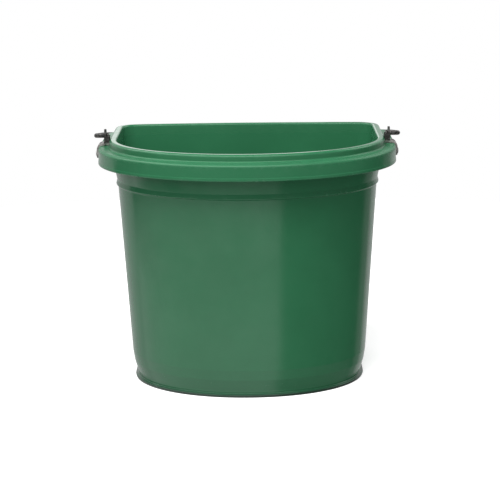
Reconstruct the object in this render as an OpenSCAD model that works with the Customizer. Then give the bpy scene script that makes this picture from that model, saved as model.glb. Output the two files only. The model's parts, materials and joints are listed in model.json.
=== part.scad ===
// Flat-back feed bucket: a one-piece moulded tub with a lipped, skirted rim, two steel
// ears riveted to the rim, and a wire bail that swings in them.
// +Z is up, -Y is the rounded front, +Y the flat back. The origin is on the surface that
// the bucket stands on, under the middle of its overall box with the bail lying back.

/* [Tub] */
// Height from the standing surface to the top of the lip
tub_h = 315; // [295:1:335]
// Width across the wall at the top
top_w = 343; // [330:1:356]
// Width across the wall at the base
base_w = 302; // [290:1:315]
// Depth of the wall at the top, flat back to front
top_depth = 275; // [265:1:290]
// Depth of the wall at the base
base_depth = 251; // [240:1:258]
// How far the top of the flat back stands behind its foot
back_draft = 4; // [2:0.5:8]
// Straight part of each side at the top, from the flat back to the start of the curve
side_len = 130; // [124:1:140]
// Radius of the two upright back corners
corner_r = 24; // [16:1:32]
// How far the middle of the flat back bulges
back_bow = 6; // [2:1:10]
// Roundness of the front: 2 is an ellipse, more is squarer
front_power = 2.06; // [2:0.02:2.3]
// Thickness of the wall
wall_t = 3; // [2.4:0.1:3.6]
// Thickness of the floor
floor_t = 4; // [3:0.5:5]

/* [Rim] */
// Drop from the top of the lip to the ledge outside it
ledge_drop = 10; // [9:0.5:11]
// How far the lip's outer face stands outside the wall
lip_out = 6.5; // [5:0.5:8]
// How far the skirt's outer face stands outside the wall
skirt_out = 21; // [19:0.5:23]
// Height of the skirt, from its lower edge to the top of the lip
skirt_drop = 31; // [28:1:36]
// Height of the stacking ridge above the standing surface
ridge_z = 258; // [250:1:264]

/* [Ears] */
// How far the pivot stands in front of the flat back
ear_from_back = 118; // [112:1:118]
// Height of the pivot above the top of the lip
pivot_rise = 2; // [1.5:0.5:5]
// Width of an ear along the side of the rim
ear_w = 24; // [20:1:28]
// Thickness of the ear's sheet steel
ear_t = 2.5; // [2:0.1:3]
// Distance between the two rivets of an ear
rivet_gap = 13; // [11:1:14]

/* [Bail] */
// Diameter of the bail wire
wire_d = 6; // [5:0.5:6.5]
// Reach of the bail from its pivot to the middle of its bow
bail_reach = 212; // [208:1:220]
// Straight length of each leg before the bow begins
leg_len = 98; // [94:1:102]
// Radius of the bail's two shoulders, at the middle of the wire
shoulder_r = 86; // [80:1:90]
// Angle that the bail hangs below level when it lies back on the rim
rest_drop = 7.5; // [6.5:0.1:7.8]

/* [Hidden] */

$fn = 72;
front_steps = 56;        // segments round the curved front
corner_steps = 8;        // segments round each back corner
back_steps = 10;         // segments along the flat back
bail_behind = back_draft - ear_from_back + bail_reach * cos(rest_drop) + wire_d / 2;
rim_ahead = top_depth - base_depth - back_draft + skirt_out;
foot_centre = round((rim_ahead - bail_behind) / 2);
back_base = foot_centre + base_depth / 2;
front_base = base_depth / 2 - foot_centre;
back_top = back_base + back_draft;
front_top = top_depth - back_top;
side_end = back_top - side_len;
skirt_t = 3;             // thickness of the rim's skirt and web
edge_r = 4;              // round between the ledge and the skirt
foot_h = 4;              // height of the foot ring
ledge_z = tub_h - ledge_drop;
skirt_z = tub_h - skirt_drop;
skirt_x = top_w / 2 + skirt_out;

ear_y = back_top - ear_from_back;
pivot_z = tub_h + pivot_rise;
lug_r = 8.5;             // round top of the ear's lug
lug_x = top_w / 2 + 11.5;
bend_r = 1.5;            // inside radius of the fold at the lug
flange_w = lug_x - top_w / 2 - lip_out - 0.6; // reach of the lug's turned edges
flange_gap = 0.4;        // gap between the turned edges and the ledge
pivot_clear = 0.08;      // radial running clearance of the bail's end in the lug
rivet_r = 2.5;
rivet_clear = 0.05;
ear_low = skirt_z + 4.8; // lower edge of the ear
rivet_z = (ear_low + ledge_z - edge_r) / 2;
rivet_head_r = 4.6;
rivet_head_h = 1.6;
washer_r = 5.4;
washer_t = 1;

wire_r = wire_d / 2;
leg_x = skirt_x + 4;     // middle of each leg
elbow_r = 6;             // bend between a leg and its pivot end
bail_end_x = lug_x - 1.2;
end_head_r = 3.9;        // upset head that keeps the end in the lug
end_head_t = 1.9;

function mix(low, high, share) = low + (high - low) * share;

// Outline of the tub in plan, pushed outwards by "out", at a share of the way up the wall
function outline(out, share) = let(
    half = mix(base_w, top_w, share) / 2,
    front = mix(front_base, front_top, share),
    back = mix(back_base, back_top, share),
    flat = half - corner_r,
    corner_y = back - corner_r,
    turn = corner_r + out,
    lean = 2 * atan(back_bow / flat),
    back_r = flat / sin(lean) + turn,
    back_y = corner_y - flat / tan(lean),
    curve = 2 / front_power
) concat(
    [for (i = [0:front_steps]) let(a = 180 * i / front_steps, c = cos(a)) [
        (half + out) * sign(c) * pow(abs(c), curve),
        side_end - (side_end + front + out) * pow(sin(a), curve)
    ]],
    [for (i = [0:corner_steps]) let(a = mix(180, 90 + lean, i / corner_steps))
        [turn * cos(a) - flat, turn * sin(a) + corner_y]],
    [for (i = [1:back_steps - 1]) let(a = mix(90 + lean, 90 - lean, i / back_steps))
        [back_r * cos(a), back_r * sin(a) + back_y]],
    [for (i = [0:corner_steps]) let(a = mix(90 - lean, 0, i / corner_steps))
        [turn * cos(a) + flat, turn * sin(a) + corner_y]]
);

// Points round part of a circle in the rim's section
function arc(out, z, r, from, to, steps) = [
    for (i = [0:steps]) let(a = mix(from, to, i / steps)) [out + r * cos(a), z + r * sin(a)]
];

// The tub's section, each point [distance outside the wall, height], from the middle of
// its underside round the outside, over the rim and down the inside to the floor
under_z = 5;
section_foot = [
    [-14, under_z], [-12.5, 0.8], [-11.5, 0], [-2.8, 0], [-1.3, 0.5], [-0.7, 1.4],
    [-0.7, foot_h - 1.4], [-1.5, foot_h - 0.2], [-3.6, foot_h + 0.8], [-4.5, foot_h + 2.2],
    [-4.4, foot_h + 4.4], [-3.6, 12], [-2.2, 17.5], [-1, 23], [-0.3, 28.5], [0, 36]
];
section_neck = [
    [0, ridge_z - 2], [1.9, ridge_z - 0.6], [2.3, ridge_z + 0.7], [1.5, ridge_z + 3],
    [1, ridge_z + 6], [1.2, ridge_z + 10], [5.8, ledge_z - skirt_t]
];
section_rim = concat(
    [[skirt_out - skirt_t, ledge_z - skirt_t], [skirt_out - skirt_t, skirt_z + 0.8],
     [skirt_out - skirt_t + 0.8, skirt_z], [skirt_out - 0.6, skirt_z],
     [skirt_out + 0.3, skirt_z + 0.9], [skirt_out + 0.3, skirt_z + 3],
     [skirt_out, skirt_z + 4.5]],
    arc(skirt_out - edge_r, ledge_z - edge_r, edge_r, 0, 90, 6),
    arc(lip_out + 2.5, ledge_z + 2.5, 2.5, 270, 180, 3),
    arc(lip_out - 3.6, tub_h - 3.6, 3.6, 0, 90, 5),
    arc(3 - wall_t, tub_h - 3, 3, 90, 180, 4)
);
inner_out = -wall_t;
heel_r = 18;             // round between the inside wall and the floor
section_inside = concat(
    [[inner_out, tub_h - 12], [inner_out, 40]],
    arc(inner_out - heel_r, under_z + floor_t + heel_r, heel_r, 0, -90, 6)
);

function rings(section, share_at) = [
    for (p = section) [for (q = outline(p[0], share_at ? 1 : p[1] / tub_h)) [q[0], q[1], p[1]]]
];

// Solid skinned over closed rings of points, all with the same number of points
module skin(all_rings) {
    around = len(all_rings[0]);
    levels = len(all_rings);
    points = [for (ring = all_rings) each ring];
    walls = [
        for (k = [0:levels - 2]) for (i = [0:around - 1]) let(j = (i + 1) % around)
            each [
                [k * around + i, k * around + j, (k + 1) * around + j],
                [k * around + i, (k + 1) * around + j, (k + 1) * around + i]
            ]
    ];
    first_end = [for (i = [around - 1:-1:0]) i];
    last_end = [for (i = [0:around - 1]) (levels - 1) * around + i];
    polyhedron(points, concat(walls, [first_end, last_end]), convexity = 6);
}

module tub_shell() {
    skin(concat(
        rings(concat(section_foot, section_neck), false),
        rings(section_rim, true),
        rings(section_inside, false)
    ));
}

// Places its children at both rivets of the ear on the right side, pointing outwards
module at_rivets() {
    for (side = [-1, 1])
        translate([0, ear_y + side * rivet_gap / 2, rivet_z])
            rotate([0, 90, 0])
                children();
}

module on_side(left) {
    mirror([left ? 1 : 0, 0, 0]) children();
}

module rivet_holes() {
    at_rivets()
        translate([0, 0, skirt_x - 8])
            cylinder(r = rivet_r + rivet_clear, h = 16);
}

module tub() {
    color("seagreen")
        difference() {
            tub_shell();
            on_side(false) rivet_holes();
            on_side(true) rivet_holes();
        }
}

// Quarter of a flat ring, its hollow towards the given angle range, in the XZ section
module fold(r, from) {
    rotate(from)
        intersection() {
            difference() {
                circle(r + ear_t);
                circle(r);
            }
            square(r + ear_t);
        }
}

// Section of the ear across the rim: lug, foot on the ledge, and leg down the skirt
module ear_section() {
    foot_from = lug_x + ear_t + bend_r;
    foot_to = skirt_x - edge_r;
    translate([lug_x, ledge_z + ear_t + bend_r])
        square([ear_t, pivot_z + lug_r - ledge_z - ear_t - bend_r]);
    translate([foot_from, ledge_z + ear_t + bend_r])
        fold(bend_r, 180);
    translate([foot_from, ledge_z])
        square([foot_to - foot_from, ear_t]);
    translate([foot_to, ledge_z - edge_r])
        fold(edge_r, 0);
    translate([skirt_x, ear_low])
        square([ear_t, ledge_z - edge_r - ear_low]);
}

// Outline of the ear seen from the side, as a flat shape in depth and height
module ear_outline() {
    corner = 5;
    translate([0, pivot_z]) circle(lug_r);
    translate([-lug_r, ledge_z + 6]) square([2 * lug_r, pivot_z - ledge_z - 6]);
    translate([-ear_w / 2, ear_low + corner]) square([ear_w, ledge_z + 6 - ear_low - corner]);
    translate([corner - ear_w / 2, ear_low]) square([ear_w - 2 * corner, corner]);
    for (side = [-1, 1])
        translate([side * (ear_w / 2 - corner), ear_low + corner]) circle(corner);
}

// One of the two edges of the lug, turned in towards the lip to stiffen it
module ear_flange() {
    translate([lug_x - flange_w, ear_y + lug_r - ear_t, ledge_z + flange_gap])
        cube([flange_w + ear_t / 2, ear_t, pivot_z - ledge_z - flange_gap]);
}

module ear() {
    ear_flange();
    translate([0, 2 * ear_y, 0]) mirror([0, 1, 0]) ear_flange();
    difference() {
        intersection() {
            translate([0, ear_y + ear_w / 2, 0])
                rotate([90, 0, 0])
                    linear_extrude(ear_w)
                        ear_section();
            translate([lug_x - 1, ear_y, 0])
                rotate([90, 0, 90])
                    linear_extrude(skirt_x + ear_t - lug_x + 2)
                        ear_outline();
        }
        translate([lug_x - 1, ear_y, pivot_z])
            rotate([0, 90, 0])
                cylinder(r = wire_r + pivot_clear, h = ear_t + 2);
        rivet_holes();
    }
}

module left_ear() {
    color("dimgray") on_side(true) ear();
}

module right_ear() {
    color("dimgray") on_side(false) ear();
}

// Two rivets, heads outside the ear and set ends inside the skirt
module rivets() {
    tail_z = skirt_x - skirt_t - washer_t;
    at_rivets() {
        translate([0, 0, tail_z - rivet_head_h])
            cylinder(r1 = rivet_head_r - 1.6, r2 = rivet_head_r - 0.6, h = rivet_head_h);
        translate([0, 0, tail_z])
            cylinder(r = rivet_r, h = skirt_x + ear_t - tail_z);
        translate([0, 0, skirt_x + ear_t])
            cylinder(r1 = rivet_head_r, r2 = rivet_head_r - 1.6, h = rivet_head_h);
    }
}

module left_ear_rivets() {
    color("silver") on_side(true) rivets();
}

module right_ear_rivets() {
    color("silver") on_side(false) rivets();
}

// Washers that spread the rivets' set ends inside the skirt
module rivet_washers() {
    at_rivets()
        translate([0, 0, skirt_x - skirt_t - washer_t])
            difference() {
                cylinder(r = washer_r, h = washer_t);
                translate([0, 0, -1])
                    cylinder(r = rivet_r + rivet_clear, h = washer_t + 2);
            }
}

module left_rivet_washers() {
    color("gray") on_side(true) rivet_washers();
}

module right_rivet_washers() {
    color("gray") on_side(false) rivet_washers();
}

// Centres, radii and angles of the bail's bow in its own plane: the right shoulder, the
// middle arc, which runs tangent into both shoulders, and the left shoulder
shoulder_x = leg_x - shoulder_r;
bow_rise = bail_reach - leg_len;
bow_r = (pow(shoulder_x, 2) + pow(bow_rise, 2) - pow(shoulder_r, 2))
    / (2 * (bow_rise - shoulder_r));
half_bow = atan2(shoulder_x, bow_r - bow_rise);
shoulder_steps = 14;
bow_steps = 22;
wire_steps = 12;
sleeve_len = 14;         // round stretch of each leg, from the elbow
inner_r = wire_r - 0.03; // the swept stretch sits a hair inside the round one

function arc_points(x, y, r, from, to, steps) = [
    for (i = [0:steps]) let(a = mix(from, to, i / steps)) [x + r * cos(a), y + r * sin(a), a]
];

function bow_path() = concat(
    [[leg_x, sleeve_len - 3, 0]],
    arc_points(shoulder_x, leg_len, shoulder_r, 0, 90 - half_bow, shoulder_steps),
    [for (p = arc_points(0, bail_reach - bow_r, bow_r, 90 - half_bow, 90 + half_bow, bow_steps))
        if (abs(p[2] - 90) < half_bow - 0.1) p],
    arc_points(-shoulder_x, leg_len, shoulder_r, 90 + half_bow, 180, shoulder_steps),
    [[-leg_x, sleeve_len - 3, 180]]
);

module bow() {
    skin([for (p = bow_path()) [for (i = [0:wire_steps - 1]) let(b = 360 * i / wire_steps) [
        p[0] + inner_r * cos(b) * cos(p[2]),
        p[1] + inner_r * cos(b) * sin(p[2]),
        inner_r * sin(b)
    ]]]);
}

// One end of the bail in its plane: upset head, pivot, elbow and the start of the leg
module bail_end() {
    translate([bail_end_x - end_head_t, 0, 0])
        rotate([0, 90, 0])
            cylinder(r = end_head_r, h = end_head_t);
    translate([bail_end_x, 0, 0])
        rotate([0, 90, 0])
            cylinder(r = wire_r, h = leg_x - elbow_r - bail_end_x);
    translate([leg_x - elbow_r, elbow_r, 0])
        rotate([0, 0, -90])
            rotate_extrude(angle = 90)
                translate([elbow_r, 0])
                    circle(wire_r);
    translate([leg_x, elbow_r, 0])
        rotate([-90, 0, 0])
            cylinder(r = wire_r, h = sleeve_len - elbow_r);
}

module bail() {
    color([0.12, 0.13, 0.13])
        translate([0, ear_y, pivot_z])
            rotate([-rest_drop, 0, 0]) {
                bow();
                bail_end();
                mirror([1, 0, 0]) bail_end();
            }
}

tub();
bail();
left_ear();
right_ear();
left_ear_rivets();
right_ear_rivets();
left_rivet_washers();
right_rivet_washers();
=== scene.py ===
"""Flat-back feed bucket on a pale floor: a moulded tub, riveted steel ears and a wire bail."""

import json
from math import atan, atan2, cos, pi, radians, sin, tan

import bmesh
import bpy
import numpy as np
from mathutils import Matrix, Vector


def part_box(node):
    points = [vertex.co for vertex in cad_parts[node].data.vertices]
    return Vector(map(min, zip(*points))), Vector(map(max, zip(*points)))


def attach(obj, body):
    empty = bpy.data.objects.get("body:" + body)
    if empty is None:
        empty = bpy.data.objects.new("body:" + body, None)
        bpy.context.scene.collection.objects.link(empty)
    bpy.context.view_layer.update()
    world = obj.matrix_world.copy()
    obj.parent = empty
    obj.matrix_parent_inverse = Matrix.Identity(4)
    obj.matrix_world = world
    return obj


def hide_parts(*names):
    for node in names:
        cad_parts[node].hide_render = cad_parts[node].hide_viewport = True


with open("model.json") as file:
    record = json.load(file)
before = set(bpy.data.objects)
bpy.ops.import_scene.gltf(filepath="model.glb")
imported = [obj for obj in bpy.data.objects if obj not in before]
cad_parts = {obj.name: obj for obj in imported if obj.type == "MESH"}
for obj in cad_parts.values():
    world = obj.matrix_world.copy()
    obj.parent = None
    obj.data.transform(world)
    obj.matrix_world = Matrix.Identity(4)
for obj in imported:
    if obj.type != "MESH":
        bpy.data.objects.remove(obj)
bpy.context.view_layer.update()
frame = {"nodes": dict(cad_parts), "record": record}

MM = 0.001
TUB_LOW, TUB_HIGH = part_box("tub")
BAIL_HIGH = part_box("bail")[1]
RIVET_LOW, RIVET_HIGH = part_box("right_ear_rivets")
HINGE = Vector(frame["record"]["behaviour"]["joints"][0]["pos_m"])

# The tub's own sizes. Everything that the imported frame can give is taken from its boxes.
SKIRT_OUT = 21 * MM         # skirt's outer face outside the wall
SKIRT_BEAD = 0.3 * MM       # bead round the skirt's lower edge, outside the skirt
LIP_OUT = 6.5 * MM
LEDGE_DROP = 10 * MM
SKIRT_DROP = 31 * MM
WALL_T = 3 * MM
RIM_T = 3 * MM
FLOOR_TOP = 9 * MM
UNDERSIDE = 5 * MM
RIDGE_Z = 258 * MM
CORNER_R = 24 * MM
BACK_BOW = 6 * MM
BACK_DRAFT = 4 * MM
SIDE_LEN = 130 * MM
BASE_DEPTH = 251 * MM
SIDE_DRAFT = 20.5 * MM
FRONT_POWER = 2.06

TUB_H = TUB_HIGH.z
HALF_TOP = TUB_HIGH.x - SKIRT_OUT - SKIRT_BEAD
HALF_BASE = HALF_TOP - SIDE_DRAFT
BACK_TOP = TUB_HIGH.y - SKIRT_OUT - SKIRT_BEAD - BACK_BOW
BACK_BASE = BACK_TOP - BACK_DRAFT
FRONT_TOP = -TUB_LOW.y - SKIRT_OUT - SKIRT_BEAD
FRONT_BASE = BASE_DEPTH - BACK_BASE
SIDE_END = BACK_TOP - SIDE_LEN
LEDGE_Z = TUB_H - LEDGE_DROP
SKIRT_Z = TUB_H - SKIRT_DROP

FRONT_STEPS, CORNER_STEPS, BACK_STEPS = 200, 16, 48

# The bail in its own plane, and how far it droops when it lies back
WIRE_R = 3 * MM
LEG_X = BAIL_HIGH.x - WIRE_R
ELBOW_R = 6 * MM
LEG_LEN = 98 * MM
REACH = 212 * MM
SHOULDER_R = 86 * MM
REST_DROP = radians(7.5)
HEAD_R = 3.9 * MM           # upset head inside the ear's lug
HEAD_T = 1.9 * MM
PIN_END_X = HALF_TOP + 10.3 * MM
WIRE_SIDES = 24
PIVOT_RUB = 10 * MM         # length of leg rubbed bright from the pivot
GRIP_FROM = 0.9             # share of the bail's reach where the hand's rub begins

RIVET_HEAD_H = 1.6 * MM
RIVET_SHANK_R = 2.45 * MM


def mix(low, high, share):
    return low + (high - low) * share


def outline(out, share):
    """The tub's outline in plan, pushed outwards by out, at a share of the way up the wall."""
    half = mix(HALF_BASE, HALF_TOP, share)
    front = mix(FRONT_BASE, FRONT_TOP, share)
    back = mix(BACK_BASE, BACK_TOP, share)
    flat, corner_y, turn = half - CORNER_R, back - CORNER_R, CORNER_R + out
    lean = 2 * atan(BACK_BOW / flat)
    back_r = flat / sin(lean) + turn
    back_y = corner_y - flat / tan(lean)
    curve = 2 / FRONT_POWER
    points = []
    for i in range(FRONT_STEPS + 1):
        a = pi * i / FRONT_STEPS
        c = cos(a)
        points.append((
            (half + out) * (1 if c >= 0 else -1) * abs(c) ** curve,
            SIDE_END - (SIDE_END + front + out) * abs(sin(a)) ** curve,
        ))
    for i in range(CORNER_STEPS + 1):
        a = mix(pi, pi / 2 + lean, i / CORNER_STEPS)
        points.append((turn * cos(a) - flat, turn * sin(a) + corner_y))
    for i in range(1, BACK_STEPS):
        a = mix(pi / 2 + lean, pi / 2 - lean, i / BACK_STEPS)
        points.append((back_r * cos(a), back_r * sin(a) + back_y))
    for i in range(CORNER_STEPS + 1):
        a = mix(pi / 2 - lean, 0, i / CORNER_STEPS)
        points.append((turn * cos(a) + flat, turn * sin(a) + corner_y))
    return points


def filleted(corners, steps=6):
    """A polyline of (out, z, radius, wear) corners with each corner rounded, as (out, z, wear)."""
    line = [(corners[0][0], corners[0][1], corners[0][3])]
    for before, here, after in zip(corners, corners[1:], corners[2:]):
        p = np.array(here[:2])
        to_a, to_b = np.array(before[:2]) - p, np.array(after[:2]) - p
        la, lb = np.linalg.norm(to_a), np.linalg.norm(to_b)
        to_a, to_b = to_a / la, to_b / lb
        half = 0.5 * np.arccos(np.clip(to_a @ to_b, -1, 1))
        if here[2] <= 0 or half > radians(89):
            line.append((p[0], p[1], here[3]))
            continue
        cut = min(here[2] / tan(half), 0.48 * la, 0.48 * lb)
        radius = cut * tan(half)
        inwards = (to_a + to_b) / np.linalg.norm(to_a + to_b)
        start, end, centre = p + to_a * cut, p + to_b * cut, p + inwards * radius / sin(half)
        a0 = atan2(*(start - centre)[::-1])
        turn = (atan2(*(end - centre)[::-1]) - a0 + pi) % (2 * pi) - pi
        for i in range(steps + 1):
            a = a0 + turn * i / steps
            line.append((centre[0] + radius * cos(a), centre[1] + radius * sin(a), here[3]))
    line.append((corners[-1][0], corners[-1][1], corners[-1][3]))
    return line


def tub_section():
    """Corners of the tub's section: from under the floor, up the outside, over the rim and in."""
    so, t = SKIRT_OUT, RIM_T
    bead = so + SKIRT_BEAD
    foot = [
        (-14 * MM, UNDERSIDE, 0, 0), (-12.4 * MM, UNDERSIDE, 1 * MM, 0.2),
        (-11.8 * MM, 0, 0.6 * MM, 1), (-1.2 * MM, 0, 1.8 * MM, 1),
        (-0.7 * MM, 3.6 * MM, 1.1 * MM, 0.6), (-4.8 * MM, 5.0 * MM, 1.0 * MM, 0),
        (-4.4 * MM, 8.6 * MM, 2 * MM, 0), (-1.2 * MM, 23 * MM, 12 * MM, 0.3),
        (0, 36 * MM, 9 * MM, 0.1),
        (0, 120 * MM, 0, 0), (0, 200 * MM, 0, 0),
        (0, RIDGE_Z - 1.4 * MM, 1.5 * MM, 0), (2.5 * MM, RIDGE_Z, 1.2 * MM, 0.8),
        (0.7 * MM, RIDGE_Z + 6 * MM, 5 * MM, 0.1), (5.8 * MM, LEDGE_Z - t, 1.2 * MM, 0),
    ]
    rim = [
        (so - t, LEDGE_Z - t, 1.0 * MM, 0), (so - t, SKIRT_Z, 0.6 * MM, 0.2),
        (bead, SKIRT_Z, 0.9 * MM, 0.8),
        (bead, SKIRT_Z + 3.4 * MM, 0.8 * MM, 0.4), (so, SKIRT_Z + 4.4 * MM, 0.8 * MM, 0),
        (so, LEDGE_Z, 4 * MM, 0.7), (LIP_OUT, LEDGE_Z, 2.4 * MM, 0),
        (LIP_OUT, TUB_H, 3.6 * MM, 0.8),
        (-WALL_T, TUB_H, 2.8 * MM, 0.8),
    ]
    inside = [
        (-WALL_T, TUB_H - 16 * MM, 0, 0), (-WALL_T, 200 * MM, 0, 0), (-WALL_T, 110 * MM, 0, 0),
        (-WALL_T, FLOOR_TOP, 18 * MM, 0.2), (-24 * MM, FLOOR_TOP, 0, 0),
    ]
    line = filleted(foot + rim + inside)
    # The rim keeps its full outline all the way round. Below it the outline follows the draft.
    return [(o, z, w, 1.0 if o > 8 * MM or z > LEDGE_Z - t + 1.3 * MM else z / TUB_H)
            for o, z, w in line]


def mesh_object(name, points, faces):
    mesh = bpy.data.meshes.new(name)
    mesh.from_pydata([tuple(p) for p in points], [], faces)
    mesh.shade_smooth()
    made = bpy.data.objects.new(name, mesh)
    bpy.context.collection.objects.link(made)
    return made


def float_layer(obj, name, values):
    layer = obj.data.attributes.new(name, "FLOAT", "POINT")
    layer.data.foreach_set("value", np.asarray(values, np.float32))


def grid_faces(levels, around, start=0):
    faces = []
    for k in range(levels - 1):
        for i in range(around):
            j = (i + 1) % around
            a, b = start + k * around, start + (k + 1) * around
            faces.append((a + i, a + j, b + j, b + i))
    return faces


def disc(points, faces, ring, z, rings_in, values, value):
    """Closes a ring of points with smaller rings round its middle, at one height."""
    around = len(ring)
    middle = np.mean([points[i][:2] for i in ring], axis=0)
    last = list(ring)
    for k in range(1, rings_in + 1):
        share = 1 - k / rings_in
        if k == rings_in:
            points.append((middle[0], middle[1], z))
            values.append(value)
            centre = len(points) - 1
            for i in range(around):
                faces.append((last[i], last[(i + 1) % around], centre))
            return
        new = []
        for i in ring:
            x, y = points[i][:2]
            points.append((mix(middle[0], x, share), mix(middle[1], y, share), z))
            values.append(value)
            new.append(len(points) - 1)
        for i in range(around):
            j = (i + 1) % around
            faces.append((last[i], last[j], new[j], new[i]))
        last = new


def build_tub():
    section = tub_section()
    points, wear = [], []
    for out, z, worn, share in section:
        for x, y in outline(out, share):
            points.append((x, y, z))
            wear.append(worn)
    around, levels = len(points) // len(section), len(section)
    faces = grid_faces(levels, around)
    first = list(range(around))
    last = list(range((levels - 1) * around, levels * around))
    disc(points, faces, last, FLOOR_TOP, 9, wear, 0.1)
    disc(points, faces, first[::-1], UNDERSIDE, 9, wear, 0.1)
    tub = mesh_object("tub_shell", points, faces)
    float_layer(tub, "wear", wear)
    weighted = tub.modifiers.new("weighted_normals", "WEIGHTED_NORMAL")
    weighted.weight = 60
    return tub


def bail_path():
    """Middle of the wire in the bail's plane, from one pivot end to the other: (x, y, heading)."""
    shoulder_x = LEG_X - SHOULDER_R
    rise = REACH - LEG_LEN
    bow_r = (shoulder_x ** 2 + rise ** 2 - SHOULDER_R ** 2) / (2 * (rise - SHOULDER_R))
    half_bow = atan2(shoulder_x, bow_r - rise)
    end_x = PIN_END_X
    path = [(x, 0.0, -pi / 2) for x in (end_x, mix(end_x, LEG_X - ELBOW_R, 0.5))]
    path += [(LEG_X - ELBOW_R + ELBOW_R * cos(a), ELBOW_R + ELBOW_R * sin(a), a)
             for a in np.linspace(-pi / 2, 0, 12)]
    path += [(LEG_X, y, 0.0) for y in np.linspace(ELBOW_R, LEG_LEN, 14)[1:-1]]
    path += [(shoulder_x + SHOULDER_R * cos(a), LEG_LEN + SHOULDER_R * sin(a), a)
             for a in np.linspace(0, pi / 2 - half_bow, 26)]
    half = [(bow_r * cos(a), REACH - bow_r + bow_r * sin(a), a)
            for a in np.linspace(pi / 2 - half_bow, pi / 2, 22)[1:]]
    right = path + half
    left = [(-x, y, pi - a) for x, y, a in right[-2::-1]]
    return right + left


def build_bail():
    path = bail_path()
    radius = [WIRE_R - 0.02 * MM] * len(path)
    head_x = path[0][0]
    tip_x = head_x - HEAD_T
    head = [(tip_x, 0.05 * MM), (tip_x, HEAD_R - 0.9 * MM), (tip_x + 0.25 * MM, HEAD_R - 0.3 * MM),
            (tip_x + 0.7 * MM, HEAD_R), (head_x - 0.5 * MM, HEAD_R),
            (head_x - 0.1 * MM, HEAD_R - 0.4 * MM)]
    path = ([(x, 0.0, -pi / 2) for x, _ in head] + path
            + [(-x, 0.0, 3 * pi / 2) for x, _ in head[::-1]])
    radius = [r for _, r in head] + radius + [r for _, r in head[::-1]]
    turn = Matrix.Rotation(-REST_DROP, 4, "X")
    points, wear = [], []
    tallest = max(p[1] for p in path)
    for (x, y, a), r in zip(path, radius):
        for i in range(WIRE_SIDES):
            b = 2 * pi * i / WIRE_SIDES
            local = Vector((x + r * cos(b) * cos(a), y + r * cos(b) * sin(a), r * sin(b)))
            points.append(HINGE + turn @ local)
            pivot_rub = max(0.0, 1 - y / PIVOT_RUB)
            grip_rub = max(0.0, (y / tallest - GRIP_FROM) / (1 - GRIP_FROM))
            wear.append(max(pivot_rub, 0.8 * grip_rub))
    faces = grid_faces(len(path), WIRE_SIDES)
    faces.append(tuple(range(WIRE_SIDES))[::-1])
    faces.append(tuple(range((len(path) - 1) * WIRE_SIDES, len(path) * WIRE_SIDES)))
    bail = mesh_object("bail_wire", points, faces)
    float_layer(bail, "wear", wear)
    return bail


def softened(node, name, width):
    """A copy of a CAD node with its sharp edges broken."""
    source = frame["nodes"][node]
    bm = bmesh.new()
    bm.from_mesh(source.data)
    bmesh.ops.remove_doubles(bm, verts=bm.verts, dist=1e-6)
    bmesh.ops.dissolve_limit(bm, angle_limit=radians(0.8), verts=bm.verts, edges=bm.edges)
    mesh = bpy.data.meshes.new(name)
    bm.to_mesh(mesh)
    bm.free()
    mesh.materials.clear()
    mesh.shade_smooth()
    made = bpy.data.objects.new(name, mesh)
    bpy.context.collection.objects.link(made)
    bevel = made.modifiers.new("broken_edges", "BEVEL")
    bevel.limit_method = "ANGLE"
    bevel.angle_limit = radians(35)
    bevel.width = width
    bevel.segments = 2
    bevel.harden_normals = True
    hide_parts(node)
    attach(made, "tub")
    return made


def build_rivets(node, name, side):
    """Two rivets of one ear: a domed head outside, the shank and a set end inside."""
    low, high = RIVET_LOW, RIVET_HIGH
    radius = (high.z - low.z) / 2
    z = (high.z + low.z) / 2
    steps = 28
    under_head, set_head = high.x - RIVET_HEAD_H, low.x + RIVET_HEAD_H
    profile = [(high.x, 0.0), (high.x - 0.05 * MM, radius * 0.3),
               (high.x - 0.3 * MM, radius * 0.62), (high.x - 0.75 * MM, radius * 0.86),
               (high.x - 1.2 * MM, radius * 0.97),
               (under_head, radius), (under_head, RIVET_SHANK_R), (set_head, RIVET_SHANK_R),
               (set_head, radius - 0.7 * MM), (low.x + 0.6 * MM, radius - 1.1 * MM),
               (low.x, radius - 2.2 * MM), (low.x, 0.0)]
    points, faces = [], []
    for y in (low.y + radius, high.y - radius):
        start = len(points)
        for x, r in profile:
            for i in range(steps):
                a = 2 * pi * i / steps
                r_here = max(r, 1e-6)
                points.append((side * x, y + r_here * cos(a), z + r_here * sin(a)))
        faces += grid_faces(len(profile), steps, start)
    rivets = mesh_object(name, points, faces)
    bm = bmesh.new()
    bm.from_mesh(rivets.data)
    bmesh.ops.remove_doubles(bm, verts=bm.verts, dist=1e-5)
    bmesh.ops.recalc_face_normals(bm, faces=bm.faces)
    bm.to_mesh(rivets.data)
    bm.free()
    rivets.data.shade_smooth()
    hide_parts(node)
    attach(rivets, "tub")
    return rivets


# ---- materials ----

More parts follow.
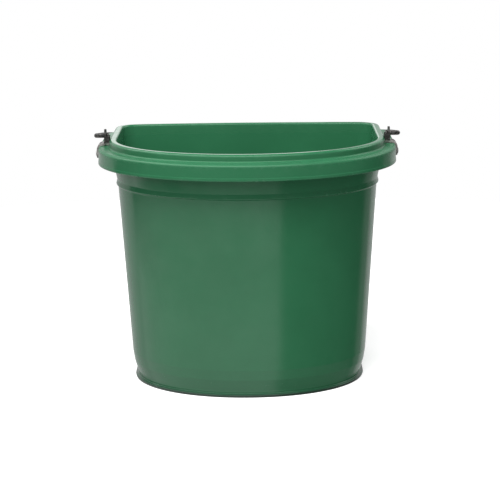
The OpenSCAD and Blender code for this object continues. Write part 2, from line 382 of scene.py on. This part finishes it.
class Shader:
    """Small helper that adds and joins shader nodes of one material."""

    def __init__(self, name):
        self.material = bpy.data.materials.new(name)
        self.material.use_nodes = True
        self.tree = self.material.node_tree
        self.surface = self.tree.nodes["Principled BSDF"]

    def node(self, kind, **values):
        made = self.tree.nodes.new("ShaderNode" + kind)
        for key, value in values.items():
            setattr(made, key, value)
        return made

    def put(self, socket, value):
        if isinstance(value, bpy.types.NodeSocket):
            self.tree.links.new(value, socket)
        else:
            socket.default_value = value

    def place(self, scale=(1, 1, 1)):
        where = self.node("TexCoord").outputs["Object"]
        if scale == (1, 1, 1):
            return where
        mapping = self.node("Mapping")
        self.put(mapping.inputs["Vector"], where)
        mapping.inputs["Scale"].default_value = scale
        return mapping.outputs["Vector"]

    def noise(self, scale, detail=4.0, rough=0.55, stretch=(1, 1, 1), warp=0.0):
        made = self.node("TexNoise")
        self.put(made.inputs["Vector"], self.place(stretch))
        made.inputs["Scale"].default_value = scale
        made.inputs["Detail"].default_value = detail
        made.inputs["Roughness"].default_value = rough
        made.inputs["Distortion"].default_value = warp
        return made.outputs["Fac"]

    def ramp(self, value, low, high, to_low=0.0, to_high=1.0):
        made = self.node("MapRange", interpolation_type="SMOOTHSTEP")
        self.put(made.inputs["Value"], value)
        made.inputs["From Min"].default_value = low
        made.inputs["From Max"].default_value = high
        made.inputs["To Min"].default_value = to_low
        made.inputs["To Max"].default_value = to_high
        return made.outputs["Result"]

    def maths(self, kind, a, b):
        made = self.node("Math", operation=kind)
        self.put(made.inputs[0], a)
        self.put(made.inputs[1], b)
        return made.outputs[0]

    def blend(self, share, a, b):
        made = self.node("Mix", data_type="RGBA")
        self.put(made.inputs["Factor"], share)
        self.put(made.inputs[6], a)
        self.put(made.inputs[7], b)
        return made.outputs[2]

    def attribute(self, name):
        return self.node("Attribute", attribute_name=name).outputs["Fac"]

    def height(self):
        parts = self.node("SeparateXYZ")
        self.put(parts.inputs[0], self.place())
        return parts.outputs["Z"]

    def bump(self, heights):
        """Stacked bumps from (height socket, distance in metres, strength)."""
        normal = None
        for value, distance, strength in heights:
            made = self.node("Bump")
            made.inputs["Distance"].default_value = distance
            made.inputs["Strength"].default_value = strength
            self.put(made.inputs["Height"], value)
            if normal is not None:
                self.put(made.inputs["Normal"], normal)
            normal = made.outputs["Normal"]
        self.put(self.surface.inputs["Normal"], normal)


def scratches(sh, cover):
    """Thin random scratches in three directions, kept to patches by cover (0 to 1)."""
    total = None
    for stretch, scale in (((900, 900, 22), 1.0), ((26, 40, 1300), 1.0), ((500, 120, 90), 1.0)):
        line = sh.ramp(sh.noise(scale, 2.0, 0.5, stretch, 0.15), 0.66, 0.74)
        total = line if total is None else sh.maths("MAXIMUM", total, line)
    return sh.maths("MULTIPLY", total, cover)


def green_plastic():
    sh = Shader("green_plastic")
    wear = sh.attribute("wear")
    cloud = sh.noise(7.0, 5.0, 0.6)
    patches = sh.ramp(sh.noise(16.0, 4.0, 0.6), 0.5, 0.68)
    low_down = sh.ramp(sh.height(), 0.09, 0.0)
    rubbed = sh.maths("MULTIPLY", wear, sh.ramp(sh.noise(70.0, 5.0, 0.65), 0.42, 0.62))
    cover = sh.maths("MAXIMUM", patches, sh.maths("MAXIMUM", low_down, rubbed))
    marks = scratches(sh, cover)
    deep, fresh = (0.0265, 0.147, 0.066, 1), (0.030, 0.163, 0.074, 1)
    chalk = (0.14, 0.30, 0.20, 1)
    colour = sh.blend(sh.ramp(cloud, 0.35, 0.65), deep, fresh)
    colour = sh.blend(sh.maths("MULTIPLY", rubbed, 0.05), colour, chalk)
    colour = sh.blend(sh.maths("MULTIPLY", marks, 0.02), colour, chalk)
    specks = sh.ramp(sh.noise(420.0, 2.0, 0.5), 0.70, 0.78)
    dust = sh.maths("MULTIPLY", specks, sh.ramp(cloud, 0.4, 0.6))
    colour = sh.blend(sh.maths("MULTIPLY", dust, 0.06), colour, (0.16, 0.17, 0.12, 1))
    # Painted shade: the bottom 7.5 mm of the foot blends towards near-black green, standing in for
    # the contact shadow under the tub.
    at_foot = sh.ramp(sh.height(), 7.5 * MM, 2.5 * MM)
    foot_painted_shade = sh.maths("MULTIPLY", at_foot, sh.ramp(cloud, 0.1, 0.6, 0.75, 0.95))
    colour = sh.blend(foot_painted_shade, colour, (0.016, 0.034, 0.024, 1))
    sh.put(sh.surface.inputs["Base Color"], colour)
    rough = sh.ramp(sh.noise(38.0, 5.0, 0.6), 0.3, 0.7, 0.17, 0.23)
    rough = sh.maths("ADD", rough, sh.maths("MULTIPLY", marks, 0.05))
    rough = sh.maths("ADD", rough, sh.maths("MULTIPLY", rubbed, 0.08))
    # Hands and feed polish the lip, and dust dulls the ledge below it.
    polished = sh.ramp(sh.height(), LEDGE_Z + 7 * MM, LEDGE_Z + 10 * MM)
    dulled = sh.ramp(sh.height(), LEDGE_Z - 6 * MM, LEDGE_Z - 2 * MM, 0.0, 0.12)
    dulled = sh.maths("MULTIPLY", dulled, sh.maths("SUBTRACT", 1.0, polished))
    rough = sh.maths("ADD", rough, dulled)
    rough = sh.maths("ADD", rough, sh.maths("MULTIPLY", polished, -0.11))
    sh.put(sh.surface.inputs["Roughness"], rough)
    sh.surface.inputs["IOR"].default_value = 1.53
    sh.bump([
        (sh.noise(5.5, 2.0, 0.4), 0.0022, 0.35),
        (sh.noise(46.0, 3.0, 0.5), 0.00018, 0.45),
        (sh.noise(1500.0, 2.0, 0.5), 0.00002, 0.35),
        (marks, -0.00001, 0.2),
    ])
    return sh.material


def dark_wire():
    sh = Shader("dark_wire")
    wear = sh.attribute("wear")
    rubbed = sh.maths("MULTIPLY", wear, sh.ramp(sh.noise(260.0, 4.0, 0.6), 0.42, 0.58))
    chips = sh.ramp(sh.noise(520.0, 3.0, 0.5), 0.70, 0.74)
    bare = sh.maths("MAXIMUM", rubbed, chips)
    black, worn = (0.012, 0.013, 0.013, 1), (0.026, 0.027, 0.026, 1)
    colour = sh.blend(sh.ramp(sh.noise(90.0), 0.35, 0.65), black, worn)
    sh.put(sh.surface.inputs["Base Color"], sh.blend(bare, colour, (0.20, 0.19, 0.18, 1)))
    sh.put(sh.surface.inputs["Metallic"], sh.maths("MULTIPLY", bare, 0.85))
    sh.put(sh.surface.inputs["Roughness"], sh.ramp(sh.noise(150.0), 0.3, 0.7, 0.30, 0.46))
    sh.bump([(sh.noise(700.0, 3.0), 0.00005, 0.5), (bare, -0.00006, 0.6)])
    return sh.material


def zinc(name, dark, light, tarnish, darkened_from=None):
    """Dull zinc-plated steel. Above the given height its colour turns near-black."""
    sh = Shader(name)
    blotch = sh.ramp(sh.noise(330.0, 4.0, 0.6), 0.38, 0.62)
    grime = sh.ramp(sh.noise(120.0, 5.0, 0.7), 0.45, 0.68)
    colour = sh.blend(blotch, dark, light)
    colour = sh.blend(sh.maths("MULTIPLY", grime, 0.55), colour, tarnish)
    if darkened_from is not None:
        # Above the given height the colour blends towards near-black along a ragged edge.
        edge = sh.maths("ADD", sh.height(), sh.maths("MULTIPLY", sh.noise(240.0, 3.0), 4 * MM))
        darkening = sh.ramp(edge, darkened_from + 1 * MM, darkened_from + 4 * MM, 0.0, 0.88)
        colour = sh.blend(darkening, colour, (0.016, 0.016, 0.015, 1))
    sh.put(sh.surface.inputs["Base Color"], colour)
    sh.put(sh.surface.inputs["Metallic"], sh.ramp(grime, 0.0, 1.0, 0.45, 0.3))
    rough = sh.ramp(blotch, 0.0, 1.0, 0.30, 0.42)
    rough = sh.maths("ADD", rough, sh.maths("MULTIPLY", grime, 0.18))
    sh.put(sh.surface.inputs["Roughness"], rough)
    sh.bump([(sh.noise(900.0, 3.0), 0.00004, 0.5), (sh.noise(60.0, 2.0), 0.0001, 0.4)])
    return sh.material


def painted(obj, material):
    obj.data.materials.clear()
    obj.data.materials.append(material)


PLASTIC, WIRE = green_plastic(), dark_wire()
EAR_STEEL = zinc(
    "ear_steel", dark=(0.27, 0.262, 0.25, 1), light=(0.42, 0.41, 0.39, 1),
    tarnish=(0.07, 0.064, 0.056, 1), darkened_from=LEDGE_Z + 3 * MM)
RIVET_STEEL = zinc(
    "rivet_steel", dark=(0.36, 0.36, 0.35, 1), light=(0.56, 0.56, 0.54, 1),
    tarnish=(0.09, 0.085, 0.075, 1))

tub = build_tub()
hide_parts("tub")
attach(tub, "tub")
painted(tub, PLASTIC)

bail = build_bail()
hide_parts("bail")
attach(bail, "bail")
painted(bail, WIRE)

for side_name, side in (("left", -1), ("right", 1)):
    ear = softened(f"{side_name}_ear", f"{side_name}_ear_plate", 0.35 * MM)
    painted(ear, EAR_STEEL)
    rivets = build_rivets(f"{side_name}_ear_rivets", f"{side_name}_rivet_pair", side)
    painted(rivets, RIVET_STEEL)
    washers = softened(f"{side_name}_rivet_washers", f"{side_name}_washer_pair", 0.15 * MM)
    painted(washers, RIVET_STEEL)

# ---- studio ----

FLOOR_R, FLOOR_SIDES = 1.3, 96
floor = mesh_object(
    "floor",
    [(FLOOR_R * cos(2 * pi * i / FLOOR_SIDES), FLOOR_R * sin(2 * pi * i / FLOOR_SIDES), 0.0)
     for i in range(FLOOR_SIDES)],
    [tuple(range(FLOOR_SIDES))],
)
floor_look = Shader("floor_paper")
floor_look.surface.inputs["Base Color"].default_value = (0.92, 0.92, 0.92, 1)
floor_look.surface.inputs["Roughness"].default_value = 0.9
floor_look.surface.inputs["Specular IOR Level"].default_value = 0.0
floor_look.surface.inputs["Emission Color"].default_value = (1, 1, 1, 1)
floor_look.surface.inputs["Emission Strength"].default_value = 0.54
floor.data.materials.append(floor_look.material)
floor.visible_glossy = floor.visible_diffuse = False

world = bpy.data.worlds.new("studio")
bpy.context.scene.world = world
world.use_nodes = True
world.node_tree.nodes["Background"].inputs["Color"].default_value = (1.0, 1.0, 1.0, 1)
world.node_tree.nodes["Background"].inputs["Strength"].default_value = 0.52
world.cycles_visibility.glossy = False


def light(name, position, target, size, power):
    lamp = bpy.data.lights.new(name, "AREA")
    lamp.shape = "RECTANGLE"
    lamp.size, lamp.size_y = size
    lamp.energy = power
    made = bpy.data.objects.new(name, lamp)
    made.location = position
    aim = Vector(target) - Vector(position)
    made.rotation_euler = aim.to_track_quat("-Z", "Y").to_euler()
    made.visible_camera = made.visible_glossy = False
    bpy.context.collection.objects.link(made)
    return made


def glow(name, azimuths, heights, radius, strength):
    """A curved white screen round the bucket, seen only in its gloss.

    Azimuth 0 is the front and 90 the right."""
    across = 48
    points = []
    for z in heights:
        for i in range(across + 1):
            a = radians(mix(azimuths[0], azimuths[1], i / across))
            points.append((radius * sin(a), -radius * cos(a), z))
    n = across + 1
    screen = mesh_object(name, points, [(i, i + 1, n + i + 1, n + i) for i in range(across)])
    look = bpy.data.materials.new(name)
    look.use_nodes = True
    tree = look.node_tree
    tree.nodes.clear()
    emission = tree.nodes.new("ShaderNodeEmission")
    emission.inputs["Strength"].default_value = strength
    output = tree.nodes.new("ShaderNodeOutputMaterial")
    tree.links.new(emission.outputs[0], output.inputs["Surface"])
    look.cycles.emission_sampling = "NONE"
    screen.data.materials.append(look)
    screen.visible_camera = screen.visible_diffuse = screen.visible_shadow = False
    screen.visible_transmission = False
    return screen


backdrop = glow("backdrop", (0, 360), (-4.0, 14.0), 9.0, 1.0)
backdrop.visible_camera, backdrop.visible_glossy = True, False
# Name, azimuths in degrees, heights in metres, radius in metres, strength
SCREENS = (
    ("screen_front", (-115, 24), (-4.98, -3.0), 12.0, 0.95),
    ("screen_front_low", (-109, 22.8), (-1.5, -0.27), 1.0, 0.95),
    ("screen_right_low", (22.8, 110), (-1.5, -0.4), 1.0, 0.22),
    ("screen_front_top", (-100, 43), (2.6, 9.5), 4.0, 2.4),
    ("screen_far_back", (176.5, 196), (0.6, 2.2), 3.9, 1.4),
    ("screen_left_spot", (-128, -104), (1.6, 6.5), 4.0, 3.5),
    ("screen_right_top", (100, 134), (1.8, 5.6), 4.0, 2.0),
    ("screen_right_edge", (120, 138), (-4.0, 3.0), 4.0, 0.25),
    ("screen_back", (138, 246.3), (-4.0, 3.0), 4.0, 0.62),
)
for screen in SCREENS:
    glow(*screen)
light("top_box", (-0.2, -0.9, 1.9), (0, 0.0, 0.2), (1.2, 0.9), 40)
light("front_box", (-1.2, -2.3, 1.6), (0, 0, 0.15), (1.4, 1.0), 13)

# ---- camera: fitted to the bucket's proportions in the view ----

CAMERA_TARGET = Vector((0.0022, 0.0, 0.1594))
CAMERA_DISTANCE = 2.5028
CAMERA_PITCH, CAMERA_YAW, CAMERA_ROLL = radians(11.69), radians(-0.29), radians(0.617)
camera_data = bpy.data.cameras.new("camera")
camera_data.sensor_width = 36
camera_data.lens = 135.8
camera_data.clip_end = 200
camera = bpy.data.objects.new("camera", camera_data)
bpy.context.collection.objects.link(camera)
look_along = Vector((
    sin(CAMERA_YAW) * cos(CAMERA_PITCH), cos(CAMERA_YAW) * cos(CAMERA_PITCH), -sin(CAMERA_PITCH)))
camera.location = CAMERA_TARGET - CAMERA_DISTANCE * look_along
level = look_along.to_track_quat("-Z", "Y").to_matrix()
camera.rotation_euler = (level @ Matrix.Rotation(-CAMERA_ROLL, 3, "Z")).to_euler()
bpy.context.scene.camera = camera
bpy.context.scene.view_settings.view_transform = "Standard"
